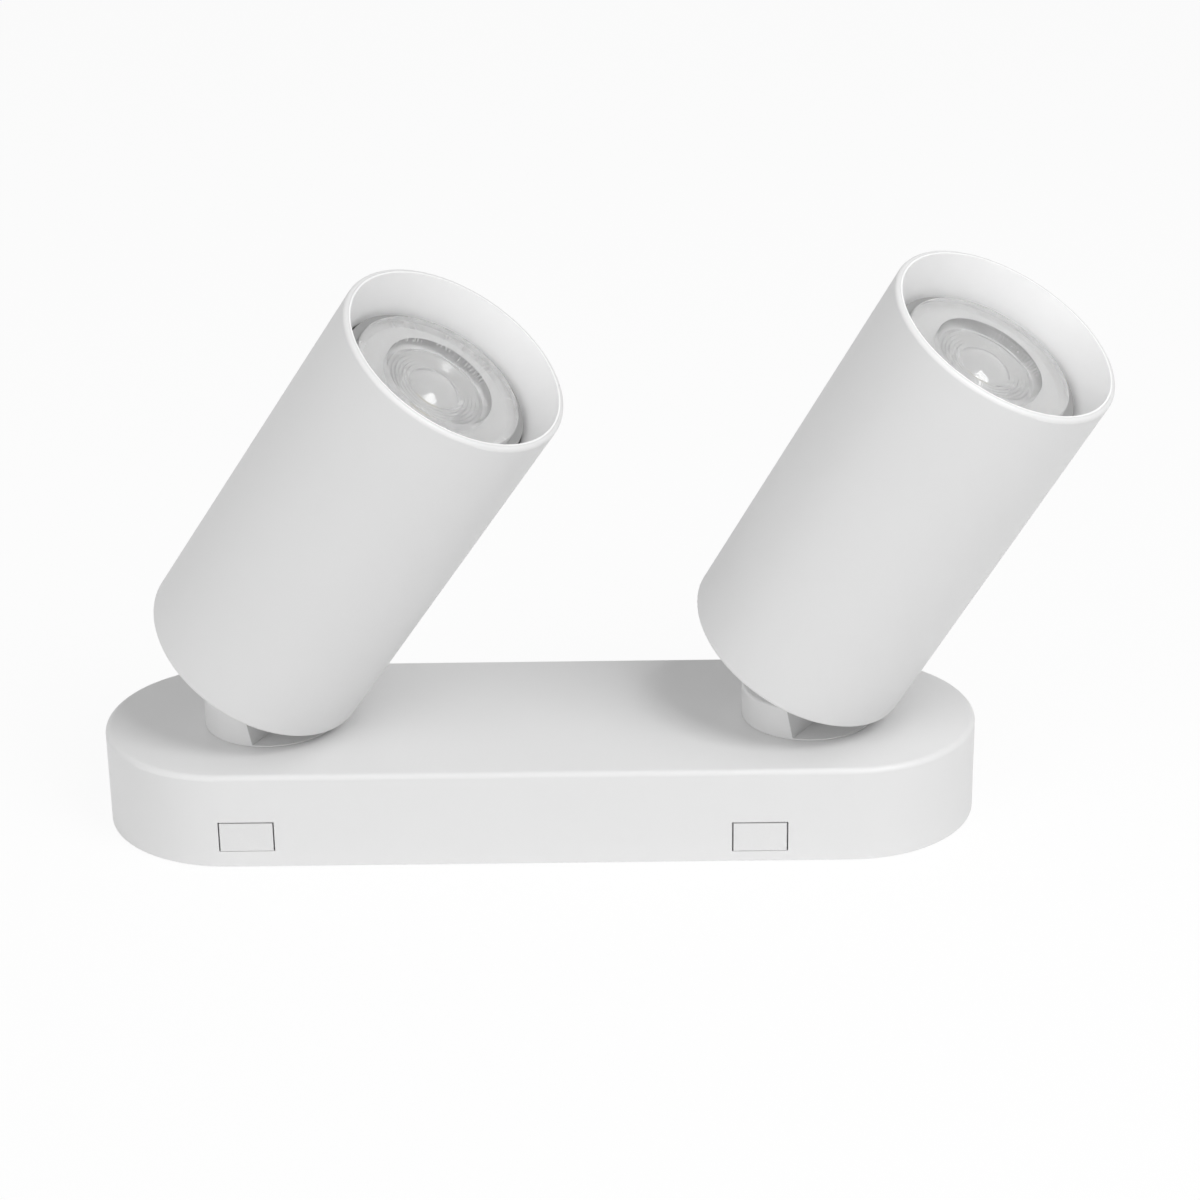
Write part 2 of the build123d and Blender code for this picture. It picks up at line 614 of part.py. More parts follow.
def lampholder():
    """A twist-lock socket: keyhole slots in the lip, a ring chamber for the pin heads, two screw wells."""
    body = disc(HOLDER_RADIUS, HOLDER_REAR, HOLDER_FRONT)
    lip_rear = HOLDER_FRONT - HOLDER_LIP
    chamber_outer = PIN_ORBIT + PIN_HEAD_RADIUS + HOLDER_CHAMBER_MARGIN
    chamber_inner = PIN_ORBIT - PIN_HEAD_RADIUS - HOLDER_CHAMBER_MARGIN
    body -= ring(chamber_outer, chamber_inner, lip_rear - HOLDER_CHAMBER_DEPTH, lip_rear)
    for start in (0, 180):
        track = SlotArc(CenterArc((0, 0), PIN_ORBIT, start, LAMP_TWIST), 2 * (PIN_SHANK_RADIUS + SEAT_GAP))
        entry = Rot(0, 0, start + LAMP_TWIST) * Pos(PIN_ORBIT, 0) * Circle(PIN_HEAD_RADIUS + SEAT_GAP)
        body -= Pos(0, 0, lip_rear) * extrude(track + entry, HOLDER_LIP)
    well_floor = HOLDER_FRONT - HOLDER_SCREW_SINK
    for side in (-1, 1):
        hole = disc(SCREW_RADIUS + SEAT_GAP, HOLDER_REAR, HOLDER_FRONT)
        well = disc(SCREW_HEAD_RADIUS + SEAT_GAP, well_floor, HOLDER_FRONT)
        body -= Pos(0, side * HOLDER_SCREW_ORBIT, 0) * (hole + well)
    return body


def lampholder_screws():
    """Two screws through the lampholder into the carrier plate."""
    seat = HOLDER_FRONT - HOLDER_SCREW_SINK
    length = seat - CARRIER_REAR
    fixing = screw(SCREW_RADIUS, SCREW_HEAD_RADIUS, SCREW_HEAD_HEIGHT, length)
    return group(Pos(0, side * HOLDER_SCREW_ORBIT, seat) * fixing for side in (-1, 1))


def screw_holes(places, bottom, top):
    """Threaded holes for screws at X, Y places."""
    hole = disc(SCREW_RADIUS + THREAD_CLEARANCE, bottom, top)
    return Part() + [Pos(x, y, 0) * hole for x, y in places]


HOLDER_SCREWS = [(0, side * HOLDER_SCREW_ORBIT) for side in (-1, 1)]
BRACKET_SCREWS = [(side * BRACKET_SCREW_X, 0) for side in (-1, 1)]


def carrier_plate():
    """A skirted disc pressed across the tube that carries the lampholder and the bracket."""
    outside = HEAD_BORE - PRESS_CLEARANCE
    plate = disc(outside, CARRIER_REAR, HOLDER_REAR)
    skirt = ring(outside, outside - CARRIER_THICKNESS, HOLDER_REAR, HOLDER_REAR + CARRIER_SKIRT)
    holes = screw_holes(HOLDER_SCREWS + BRACKET_SCREWS, CARRIER_REAR, HOLDER_REAR)
    return plate + skirt - holes - disc(WIRE_HOLE_RADIUS, CARRIER_REAR, HOLDER_REAR)


def pivot_bracket():
    """A foot plate under the carrier with two ears down to the pivot."""
    half = BRACKET_WIDTH / 2
    bracket = block((-BRACKET_FOOT, BRACKET_FOOT), (-EAR_OUTER, EAR_OUTER), (BRACKET_REAR, CARRIER_REAR))
    for side in (-1, 1):
        ear_y = sorted((side * EAR_INNER, side * EAR_OUTER))
        bracket += block((-half, half), ear_y, (CAP_OUTER_FACE, CARRIER_REAR))
    bracket -= screw_holes(BRACKET_SCREWS, BRACKET_REAR, CARRIER_REAR)
    bracket -= disc(WIRE_HOLE_RADIUS, BRACKET_REAR, CARRIER_REAR)
    return bracket - Rot(-90, 0, 0) * disc(PIVOT_BOLT_RADIUS + PRESS_CLEARANCE, -EAR_OUTER, EAR_OUTER)


def bracket_screws():
    """Two screws from the bracket into the carrier plate."""
    length = BRACKET_THICKNESS + CARRIER_THICKNESS - PRESS_CLEARANCE
    fixing = Rot(180, 0, 0) * screw(SCREW_RADIUS, SCREW_HEAD_RADIUS, SCREW_HEAD_HEIGHT, length)
    return group(Pos(x, y, BRACKET_REAR) * fixing for x, y in BRACKET_SCREWS)


def pivot_bolt():
    """The bolt through both ears and the tongue."""
    length = 2 * EAR_OUTER + PIVOT_NUT_THICKNESS + BOLT_OVERHANG
    bolt = screw(PIVOT_BOLT_RADIUS, PIVOT_HEAD_RADIUS, PIVOT_HEAD_HEIGHT, length)
    return Rot(-90, 0, 0) * Pos(0, 0, EAR_OUTER) * bolt


def pivot_nut():
    """The nut on the pivot bolt, a flat towards the rear cap."""
    bore = PIVOT_BOLT_RADIUS + THREAD_CLEARANCE
    return Rot(90, 0, 0) * hex_nut(PIVOT_NUT_FLATS, bore, EAR_OUTER, EAR_OUTER + PIVOT_NUT_THICKNESS)


def lamp_leads():
    """Two cores from the back of the lampholder to the rear of the head, clear of the pivot eye."""
    bend_z = (BRACKET_REAR + EYE_RADIUS) / 2
    away_x = -BRACKET_WIDTH / 2 - EYE_RADIUS / 2
    cores = []
    for side in (-1, 1):
        y = side * CORE_PITCH / 2
        cores.append(core([(0, y, HOLDER_REAR), (0, y, bend_z), (away_x, y, bend_z), (away_x, y, 0)]))
    return group(cores)


BASE_NODES = {
    "base_cover": base_cover(),
    "mounting_plate": mounting_plate(),
    "cable_bush": cable_bush(),
    "terminal_block": terminal_block(),
    "clamp_screws": clamp_screws(),
    "block_screws": block_screws(),
    "latch_guides": group(place * latch_guide(place.position.Z) for place in LATCH_PLACES.values()),
    "latch_springs": group(place * latch_spring() for place in LATCH_PLACES.values()),
    "supply_leads_left": supply_leads("left"),
    "supply_leads_right": supply_leads("right"),
}
COLLAR_NODES = {
    "swivel_collar": swivel_collar(),
    "swivel_nipple": swivel_nipple(),
    "wave_washer": wave_washer(),
    "stop_washer": stop_washer(),
    "lock_nut": lock_nut(),
}
HEAD_NODES = {
    "head_tube": head_tube(),
    "rear_cap": rear_cap(),
    "glare_ring": glare_ring(),
    "carrier_plate": carrier_plate(),
    "pivot_bracket": pivot_bracket(),
    "bracket_screws": bracket_screws(),
    "pivot_bolt": pivot_bolt(),
    "pivot_nut": pivot_nut(),
    "lampholder": lampholder(),
    "lampholder_screws": lampholder_screws(),
    "lamp_leads": lamp_leads(),
    "lamp_housing": lamp_housing(),
    "lamp_lens": lamp_lens(),
    "lamp_pins": lamp_pins(),
    "led_board": led_board(),
    "led_chip": led_chip(),
    "lamp_reflector": lamp_reflector(),
}
REST = {"left": (LEFT_AZIMUTH, LEFT_TILT), "right": (RIGHT_AZIMUTH, RIGHT_TILT)}

os.makedirs("parts", exist_ok=True)
for name, shape in BASE_NODES.items():
    export_step(shape, f"parts/{name}.step")
for place_name, place in LATCH_PLACES.items():
    export_step(place * latch_pad(), f"parts/latch_{place_name}.step")
for side, (azimuth, tilt) in REST.items():
    swivel = Pos(SWIVEL_X[side], 0, BASE_HEIGHT) * Rot(0, 0, azimuth)
    head = swivel * Pos(0, 0, PIVOT_RISE) * Rot(0, tilt, 0)
    for name, shape in COLLAR_NODES.items():
        export_step(swivel * shape, f"parts/{name}_{side}.step")
    for name, shape in HEAD_NODES.items():
        export_step(head * shape, f"parts/{name}_{side}.step")
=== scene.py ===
import json
import math

import bmesh
import bpy
from bpy.props import FloatProperty, FloatVectorProperty, IntProperty, PointerProperty
from bpy.types import NodeSocket, Operator, Panel, PropertyGroup
from mathutils import Matrix, Vector


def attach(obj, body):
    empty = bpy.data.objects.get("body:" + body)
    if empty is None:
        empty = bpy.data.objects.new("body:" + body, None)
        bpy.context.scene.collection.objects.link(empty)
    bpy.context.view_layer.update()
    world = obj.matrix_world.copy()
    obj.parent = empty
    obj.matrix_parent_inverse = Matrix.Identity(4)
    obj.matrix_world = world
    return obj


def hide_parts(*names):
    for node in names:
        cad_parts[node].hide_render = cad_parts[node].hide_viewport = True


bl_info = {
    "name": "Twin spotlight",
    "version": (1, 0, 0),
    "blender": (4, 5, 0),
    "location": "3D View > Sidebar > Spotlight",
    "description": "Gives the white twin spotlight its finishes, lenses and studio",
    "category": "Object",
}

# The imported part, in metres: X along the base, -Y to the front, Z away from the wall.
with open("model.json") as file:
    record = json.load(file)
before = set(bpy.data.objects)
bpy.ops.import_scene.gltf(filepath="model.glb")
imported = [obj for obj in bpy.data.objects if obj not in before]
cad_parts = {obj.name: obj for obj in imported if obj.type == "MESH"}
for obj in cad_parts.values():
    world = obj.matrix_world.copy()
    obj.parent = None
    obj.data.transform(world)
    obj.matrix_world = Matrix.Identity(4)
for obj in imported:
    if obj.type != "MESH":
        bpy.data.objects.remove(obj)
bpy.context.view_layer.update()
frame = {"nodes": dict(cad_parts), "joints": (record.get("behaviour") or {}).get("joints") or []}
SIDES = ("left", "right")
MM = 0.001


def linear(code):
    """The linear colour of an sRGB hex code."""
    channels = [int(code[i : i + 2], 16) / 255 for i in (0, 2, 4)]
    return [c / 12.92 if c <= 0.04045 else ((c + 0.055) / 1.055) ** 2.4 for c in channels] + [1.0]


# Sizes and colours that a user would change


class FinishSettings(PropertyGroup):
    coat_colour: FloatVectorProperty(
        name="Coat", description="White of the powder-coated metal",
        subtype="COLOR", size=4, min=0, max=1, default=linear("E2E2E2"))
    coat_roughness: FloatProperty(
        name="Coat roughness", description="Satin of the powder coat",
        subtype="FACTOR", min=0, max=1, default=0.45)
    peel_size: FloatProperty(
        name="Orange peel", description="Width of one ripple of the powder coat",
        subtype="DISTANCE", unit="LENGTH", default=1.6 * MM)
    plastic_colour: FloatVectorProperty(
        name="Plastic", description="White of the latches and other small mouldings",
        subtype="COLOR", size=4, min=0, max=1, default=linear("E0E0E0"))
    ring_colour: FloatVectorProperty(
        name="Glare ring", description="White of the glare rings and the reflectors",
        subtype="COLOR", size=4, min=0, max=1, default=linear("F8F8F8"))
    lamp_colour: FloatVectorProperty(
        name="Lamp body", description="Grey of the lamp's moulded body",
        subtype="COLOR", size=4, min=0, max=1, default=linear("969696"))


class LensSettings(PropertyGroup):
    plate_thickness: FloatProperty(
        name="Plate", description="Thickness of the lens at its edge",
        subtype="DISTANCE", unit="LENGTH", default=5.0 * MM)
    edge_round: FloatProperty(
        name="Edge round", description="Rounding of the lens's front edge",
        subtype="DISTANCE", unit="LENGTH", default=0.6 * MM)
    dish_radius: FloatProperty(
        name="Dish radius", description="Radius of the sunk middle of the lens",
        subtype="DISTANCE", unit="LENGTH", default=14.8 * MM)
    dish_depth: FloatProperty(
        name="Dish depth", description="Depth of the sunk middle of the lens",
        subtype="DISTANCE", unit="LENGTH", default=2.5 * MM)
    wall_run: FloatProperty(
        name="Wall run", description="How far the wall of the dish leans inward",
        subtype="DISTANCE", unit="LENGTH", default=1.0 * MM)
    rib_count: IntProperty(
        name="Ribs", description="Prism ribs in the wall of the dish", min=3, default=90)
    rib_height: FloatProperty(
        name="Rib height", description="Height of the prism ribs at their foot",
        subtype="DISTANCE", unit="LENGTH", default=0.5 * MM)
    ring_count: IntProperty(
        name="Rings", description="Prism rings on the floor of the dish", min=1, default=5)
    ring_height: FloatProperty(
        name="Ring height", description="Height of the prism rings",
        subtype="DISTANCE", unit="LENGTH", default=0.35 * MM)
    dome_radius: FloatProperty(
        name="Dome radius", description="Radius of the dome in the middle",
        subtype="DISTANCE", unit="LENGTH", default=7.0 * MM)
    dome_height: FloatProperty(
        name="Dome height", description="Height of the dome above the floor of the dish",
        subtype="DISTANCE", unit="LENGTH", default=2.5 * MM)
    tip_radius: FloatProperty(
        name="Tip radius", description="Radius of the collimator's end over the chip",
        subtype="DISTANCE", unit="LENGTH", default=6.4 * MM)


class StageSettings(PropertyGroup):
    aim: FloatVectorProperty(
        name="Aim", description="Point that the camera and the lamps face",
        subtype="TRANSLATION", unit="LENGTH", default=(0.01665, 0.0, 0.06023))
    distance: FloatProperty(
        name="Distance", description="Camera to aim",
        subtype="DISTANCE", unit="LENGTH", default=0.85577)
    pitch: FloatProperty(
        name="Pitch", description="How far the camera looks down",
        subtype="ANGLE", unit="ROTATION", default=math.radians(23.954))
    yaw: FloatProperty(
        name="Yaw", description="How far the camera looks to the right of +Y",
        subtype="ANGLE", unit="ROTATION", default=math.radians(-0.323))
    roll: FloatProperty(
        name="Roll", description="How far the camera leans",
        subtype="ANGLE", unit="ROTATION", default=math.radians(-0.820))
    sensor_width: FloatProperty(
        name="Sensor", description="Width of the camera's sensor in millimetres",
        subtype="DISTANCE_CAMERA", unit="CAMERA", default=36.0)
    focal_length: FloatProperty(
        name="Focal length", description="Focal length of the camera in millimetres",
        subtype="DISTANCE_CAMERA", unit="CAMERA", default=96.355)
    key_power: FloatProperty(
        name="Key", description="Soft box above the front right", unit="POWER", default=6.3)
    key_size: FloatProperty(
        name="Key size", description="Width of the key's soft box",
        subtype="DISTANCE", unit="LENGTH", default=0.5)
    key_place: FloatVectorProperty(
        name="Key place", description="Middle of the key's soft box",
        subtype="TRANSLATION", unit="LENGTH", default=(0.5, -0.5, 0.85))
    fill_power: FloatProperty(
        name="Fill", description="Soft box at the front left", unit="POWER", default=8.0)
    fill_size: FloatProperty(
        name="Fill size", description="Width of the fill's soft box",
        subtype="DISTANCE", unit="LENGTH", default=1.2)
    fill_place: FloatVectorProperty(
        name="Fill place", description="Middle of the fill's soft box",
        subtype="TRANSLATION", unit="LENGTH", default=(-1.0, -1.1, 0.8))
    sky_strength: FloatProperty(
        name="Sky", description="Light from all round the studio", default=0.385)
    floor_colour: FloatVectorProperty(
        name="Floor", description="Pale studio floor",
        subtype="COLOR", size=4, min=0, max=1, default=linear("F4F4F4"))
    floor_reach: FloatProperty(
        name="Floor reach", description="Half the width of the floor",
        subtype="DISTANCE", unit="LENGTH", default=4.0)
    floor_gap: FloatProperty(
        name="Floor gap", description="How far the floor lies under the base",
        subtype="DISTANCE", unit="LENGTH", default=0.3 * MM)
    shadow_share: FloatProperty(
        name="Shadow", description="How much of the shadow shows on the white floor",
        subtype="FACTOR", min=0, max=1, default=0.08)


# Nodes and materials

# Socket numbers of a Mix node that mixes colours
MIX_FACTOR, MIX_A, MIX_B = 0, 6, 7
MIX_RESULT = 2
# Length of one band of a Wave node at scale 1
WAVE_BAND = 2 * math.pi / 20
WHITE = linear("FFFFFF")


def add(tree, kind, sockets=None, **settings):
    """Adds a node with its settings, and sets or links its sockets."""
    made = tree.nodes.new(kind)
    for name, value in settings.items():
        setattr(made, name, value)
    for socket, value in (sockets or {}).items():
        if isinstance(value, NodeSocket):
            tree.links.new(value, made.inputs[socket])
        else:
            made.inputs[socket].default_value = value
    return made


def start(name, sockets):
    """A material with one shader, and the place on the object that its patterns follow."""
    made = bpy.data.materials.new(name)
    made.use_nodes = True
    tree = made.node_tree
    tree.nodes.clear()
    shader = add(tree, "ShaderNodeBsdfPrincipled", sockets)
    add(tree, "ShaderNodeOutputMaterial", {"Surface": shader.outputs["BSDF"]})
    place = add(tree, "ShaderNodeTexCoord").outputs["Object"]
    return made, tree, shader, place


def per_metre(size):
    """Pattern scale that makes one feature as wide as the size."""
    return 1 / size


def shade(colour, share):
    """The colour made darker by a share."""
    return [c * (1 - share) for c in colour[:3]] + [1.0]


def powder_coated_steel(finish):
    # Powder sprayed on and baked flows to an even satin skin: no grain, only a faint orange peel that
    # softens highlights, and a tone that drifts slightly over a hand's width.
    made, tree, shader, place = start("powder_coated_steel", {"IOR": 1.5})
    peel = add(tree, "ShaderNodeTexNoise", {
        "Vector": place, "Scale": per_metre(finish.peel_size), "Detail": 1.0,
    })
    drift = add(tree, "ShaderNodeTexNoise", {"Vector": place, "Scale": per_metre(60 * MM), "Detail": 2.0})
    colour = add(tree, "ShaderNodeMix", {
        MIX_FACTOR: drift.outputs["Fac"], MIX_A: finish.coat_colour, MIX_B: shade(finish.coat_colour, 0.03),
    }, data_type="RGBA")
    spread = 0.04
    sheen = add(tree, "ShaderNodeMapRange", {
        "Value": peel.outputs["Fac"],
        "To Min": finish.coat_roughness - spread, "To Max": finish.coat_roughness + spread,
    })
    ripple = add(tree, "ShaderNodeBump", {
        "Height": peel.outputs["Fac"], "Strength": 0.5, "Distance": 0.02 * MM,
    })
    tree.links.new(colour.outputs[MIX_RESULT], shader.inputs["Base Color"])
    tree.links.new(sheen.outputs["Result"], shader.inputs["Roughness"])
    tree.links.new(ripple.outputs["Normal"], shader.inputs["Normal"])
    return made


def moulded_abs(finish):
    # ABS from a spark-eroded mould: a matt, even white with a very fine sandy grain. The real grain is
    # about 0.05 mm and is drawn at 0.4 mm so that it shows.
    made, tree, shader, place = start("moulded_abs", {"IOR": 1.53})
    grain = add(tree, "ShaderNodeTexNoise", {"Vector": place, "Scale": per_metre(0.4 * MM), "Detail": 2.0})
    colour = add(tree, "ShaderNodeMix", {
        MIX_FACTOR: grain.outputs["Fac"],
        MIX_A: finish.plastic_colour, MIX_B: shade(finish.plastic_colour, 0.04),
    }, data_type="RGBA")
    sheen = add(tree, "ShaderNodeMapRange", {"Value": grain.outputs["Fac"], "To Min": 0.45, "To Max": 0.6})
    sand = add(tree, "ShaderNodeBump", {
        "Height": grain.outputs["Fac"], "Strength": 0.4, "Distance": 0.01 * MM,
    })
    tree.links.new(colour.outputs[MIX_RESULT], shader.inputs["Base Color"])
    tree.links.new(sheen.outputs["Result"], shader.inputs["Roughness"])
    tree.links.new(sand.outputs["Normal"], shader.inputs["Normal"])
    return made


def moulded_polycarbonate(finish):
    # White polycarbonate from a polished mould: the brightest white of the object, smooth and even, with
    # only the faint flow of the melt, a few millimetres wide, in its gloss.
    made, tree, shader, place = start("moulded_polycarbonate", {"IOR": 1.585})
    flow = add(tree, "ShaderNodeTexNoise", {"Vector": place, "Scale": per_metre(4 * MM), "Detail": 2.0})
    colour = add(tree, "ShaderNodeMix", {
        MIX_FACTOR: flow.outputs["Fac"], MIX_A: finish.ring_colour, MIX_B: shade(finish.ring_colour, 0.02),
    }, data_type="RGBA")
    sheen = add(tree, "ShaderNodeMapRange", {"Value": flow.outputs["Fac"], "To Min": 0.38, "To Max": 0.46})
    tree.links.new(colour.outputs[MIX_RESULT], shader.inputs["Base Color"])
    tree.links.new(sheen.outputs["Result"], shader.inputs["Roughness"])
    return made


def zinc_plated_steel():
    # Rolled steel, zinc plated and passivated clear: a cool grey metal with a soft spangle a few
    # millimetres across and fine rolling lines along the sheet.
    made, tree, shader, place = start("zinc_plated_steel", {"Metallic": 1.0})
    spangle = add(tree, "ShaderNodeTexVoronoi", {"Vector": place, "Scale": per_metre(4 * MM)})
    along = add(tree, "ShaderNodeMapping", {"Vector": place, "Scale": (0.03, 1.0, 1.0)})
    rolled = add(tree, "ShaderNodeTexNoise", {
        "Vector": along.outputs["Vector"], "Scale": per_metre(0.3 * MM), "Detail": 2.0,
    })
    grey = linear("C6C9CD")
    colour = add(tree, "ShaderNodeMix", {
        MIX_FACTOR: spangle.outputs["Distance"], MIX_A: grey, MIX_B: shade(grey, 0.15),
    }, data_type="RGBA")
    sheen = add(tree, "ShaderNodeMapRange", {"Value": rolled.outputs["Fac"], "To Min": 0.25, "To Max": 0.42})
    tree.links.new(colour.outputs[MIX_RESULT], shader.inputs["Base Color"])
    tree.links.new(sheen.outputs["Result"], shader.inputs["Roughness"])
    return made


def turned_brass():
    # Brass turned on an automatic lathe: warm yellow with tool rings, really 0.1 mm apart and drawn at
    # 1.57 mm so that they show.
    made, tree, shader, place = start("turned_brass", {"Metallic": 1.0})
    rings = add(tree, "ShaderNodeTexWave", {
        "Vector": place, "Scale": WAVE_BAND * per_metre(1.5708 * MM), "Distortion": 0.5,
    }, bands_direction="Z")
    yellow = linear("CDAA62")
    colour = add(tree, "ShaderNodeMix", {
        MIX_FACTOR: rings.outputs["Fac"], MIX_A: yellow, MIX_B: shade(yellow, 0.18),
    }, data_type="RGBA")
    sheen = add(tree, "ShaderNodeMapRange", {"Value": rings.outputs["Fac"], "To Min": 0.2, "To Max": 0.34})
    tree.links.new(colour.outputs[MIX_RESULT], shader.inputs["Base Color"])
    tree.links.new(sheen.outputs["Result"], shader.inputs["Roughness"])
    return made


def moulded_rubber():
    # EPDM rubber, moulded: near black and matt, with a grey bloom in patches about 5 mm across.
    made, tree, shader, place = start("moulded_rubber", {"IOR": 1.48})
    bloom = add(tree, "ShaderNodeTexNoise", {"Vector": place, "Scale": per_metre(5 * MM), "Detail": 4.0})
    colour = add(tree, "ShaderNodeMix", {
        MIX_FACTOR: bloom.outputs["Fac"], MIX_A: linear("19191A"), MIX_B: linear("323234"),
    }, data_type="RGBA")
    sheen = add(tree, "ShaderNodeMapRange", {"Value": bloom.outputs["Fac"], "To Min": 0.65, "To Max": 0.85})
    tree.links.new(colour.outputs[MIX_RESULT], shader.inputs["Base Color"])
    tree.links.new(sheen.outputs["Result"], shader.inputs["Roughness"])
    return made


def glass_filled_nylon(finish):
    # Glass-filled nylon, moulded: a flat mid grey with pale fibre flecks about 0.5 mm long.
    made, tree, shader, place = start("glass_filled_nylon", {"IOR": 1.53})
    fibres = add(tree, "ShaderNodeTexNoise", {
        "Vector": place, "Scale": per_metre(0.5 * MM), "Detail": 3.0, "Distortion": 2.0,
    })
    colour = add(tree, "ShaderNodeMix", {
        MIX_FACTOR: fibres.outputs["Fac"], MIX_A: shade(finish.lamp_colour, 0.15), MIX_B: finish.lamp_colour,
    }, data_type="RGBA")
    sheen = add(tree, "ShaderNodeMapRange", {"Value": fibres.outputs["Fac"], "To Min": 0.5, "To Max": 0.65})
    tree.links.new(colour.outputs[MIX_RESULT], shader.inputs["Base Color"])
    tree.links.new(sheen.outputs["Result"], shader.inputs["Roughness"])
    return made


def clear_polycarbonate():
    # Clear polycarbonate with a little diffuser in it, moulded in a polished tool: it bends and mirrors
    # what is round it under a milky haze, and a trace of the melt's flow softens its mirror images.
    made, tree, shader, place = start("clear_polycarbonate", {
        "Base Color": linear("F8F8F8"), "IOR": 1.585, "Transmission Weight": 0.75,
    })
    flow = add(tree, "ShaderNodeTexNoise", {"Vector": place, "Scale": per_metre(3 * MM), "Detail": 2.0})
    sheen = add(tree, "ShaderNodeMapRange", {"Value": flow.outputs["Fac"], "To Min": 0.12, "To Max": 0.22})
    tree.links.new(sheen.outputs["Result"], shader.inputs["Roughness"])
    return made


def pressed_steatite():
    # Steatite, dry pressed and fired: a warm, matt off-white with a fine speckle.
    made, tree, shader, place = start("pressed_steatite", {"IOR": 1.58})
    speckle = add(tree, "ShaderNodeTexNoise", {"Vector": place, "Scale": per_metre(0.6 * MM), "Detail": 4.0})
    colour = add(tree, "ShaderNodeMix", {
        MIX_FACTOR: speckle.outputs["Fac"], MIX_A: linear("EBE7DC"), MIX_B: linear("DAD5C8"),
    }, data_type="RGBA")
    sheen = add(tree, "ShaderNodeMapRange", {"Value": speckle.outputs["Fac"], "To Min": 0.5, "To Max": 0.7})
    tree.links.new(colour.outputs[MIX_RESULT], shader.inputs["Base Color"])
    tree.links.new(sheen.outputs["Result"], shader.inputs["Roughness"])
    return made


def white_solder_mask():
    # White solder mask screened on an aluminium board: smooth and semi-gloss, a little thinner and
    # greyer over the gaps between the copper tracks, about 2 mm apart.
    made, tree, shader, place = start("white_solder_mask", {"IOR": 1.5})
    tracks = add(tree, "ShaderNodeTexVoronoi", {"Vector": place, "Scale": per_metre(2 * MM)})
    colour = add(tree, "ShaderNodeMix", {
        MIX_FACTOR: tracks.outputs["Distance"], MIX_A: linear("F0F1EF"), MIX_B: linear("D9DBDA"),
    }, data_type="RGBA")
    sheen = add(tree, "ShaderNodeMapRange", {
        "Value": tracks.outputs["Distance"], "To Min": 0.3, "To Max": 0.42,
    })
    tree.links.new(colour.outputs[MIX_RESULT], shader.inputs["Base Color"])
    tree.links.new(sheen.outputs["Result"], shader.inputs["Roughness"])
    return made


def phosphor_silicone():
    # Silicone poured over the chip with phosphor stirred in: a pale cream, slightly cloudy gel.
    made, tree, shader, place = start("phosphor_silicone", {"IOR": 1.41, "Roughness": 0.3})
    cloud = add(tree, "ShaderNodeTexNoise", {"Vector": place, "Scale": per_metre(1 * MM), "Detail": 3.0})
    colour = add(tree, "ShaderNodeMix", {
        MIX_FACTOR: cloud.outputs["Fac"], MIX_A: linear("F1EBD2"), MIX_B: linear("E6DDBC"),
    }, data_type="RGBA")
    tree.links.new(colour.outputs[MIX_RESULT], shader.inputs["Base Color"])
    return made


def silicone_sleeve():
    # Silicone wire sleeve, extruded: milky white and slightly waxy, with a mottle about 0.3 mm fine.
    made, tree, shader, place = start("silicone_sleeve", {"IOR": 1.41})
    mottle = add(tree, "ShaderNodeTexNoise", {"Vector": place, "Scale": per_metre(0.3 * MM), "Detail": 1.0})
    colour = add(tree, "ShaderNodeMix", {
        MIX_FACTOR: mottle.outputs["Fac"], MIX_A: linear("E4E3DE"), MIX_B: linear("D3D2CC"),
    }, data_type="RGBA")
    sheen = add(tree, "ShaderNodeMapRange", {"Value": mottle.outputs["Fac"], "To Min": 0.5, "To Max": 0.62})
    tree.links.new(colour.outputs[MIX_RESULT], shader.inputs["Base Color"])
    tree.links.new(sheen.outputs["Result"], shader.inputs["Roughness"])
    return made


MADE = {}


def made_once(build, *settings):
    """The material of a builder function, built the first time it is asked for."""
    name = build.__name__
    if name not in MADE:
        MADE[name] = build(*settings)
    return MADE[name]


def clad(material, nodes):
    """Gives CAD nodes their material."""
    for name in nodes:
        surface = frame["nodes"][name].data
        surface.materials.clear()
        surface.materials.append(material)


def both(*names):
    """The left and right node of each name."""
    return [f"{name}_{side}" for name in names for side in SIDES]


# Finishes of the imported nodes


class SPOTLIGHT_OT_base(Operator):
    """Powder-coats the base cover and gives the latches their plastic"""
    bl_idname = "spotlight.base"
    bl_label = "Base and latches"

    def execute(self, context):
        finish = context.scene.spotlight_finish
        clad(made_once(powder_coated_steel, finish), ["base_cover"])
        clad(made_once(moulded_abs, finish), both("latch_front", "latch_rear"))
        return {"FINISHED"}


class SPOTLIGHT_OT_mounting(Operator):
    """Finishes the mounting plate with what is fixed to it, and the cable bush"""
    bl_idname = "spotlight.mounting"
    bl_label = "Mounting plate"

    def execute(self, context):
        plated = ["mounting_plate", "latch_guides", "latch_springs", "block_screws"]
        clad(made_once(zinc_plated_steel), plated)
        clad(made_once(moulded_rubber), ["cable_bush"])
        return {"FINISHED"}


class SPOTLIGHT_OT_wiring(Operator):
    """Finishes the terminal block, its clamp screws and all leads"""
    bl_idname = "spotlight.wiring"
    bl_label = "Wiring"

    def execute(self, context):
        clad(made_once(moulded_abs, context.scene.spotlight_finish), ["terminal_block"])
        clad(made_once(turned_brass), ["clamp_screws"])
        clad(made_once(silicone_sleeve), both("supply_leads", "lamp_leads"))
        return {"FINISHED"}


class SPOTLIGHT_OT_swivels(Operator):
    """Powder-coats the turning collars and plates the stems, washers and nuts under them"""
    bl_idname = "spotlight.swivels"
    bl_label = "Swivels"

    def execute(self, context):
        plated = both("swivel_nipple", "wave_washer", "stop_washer", "lock_nut")
        clad(made_once(powder_coated_steel, context.scene.spotlight_finish), both("swivel_collar"))
        clad(made_once(zinc_plated_steel), plated)
        return {"FINISHED"}


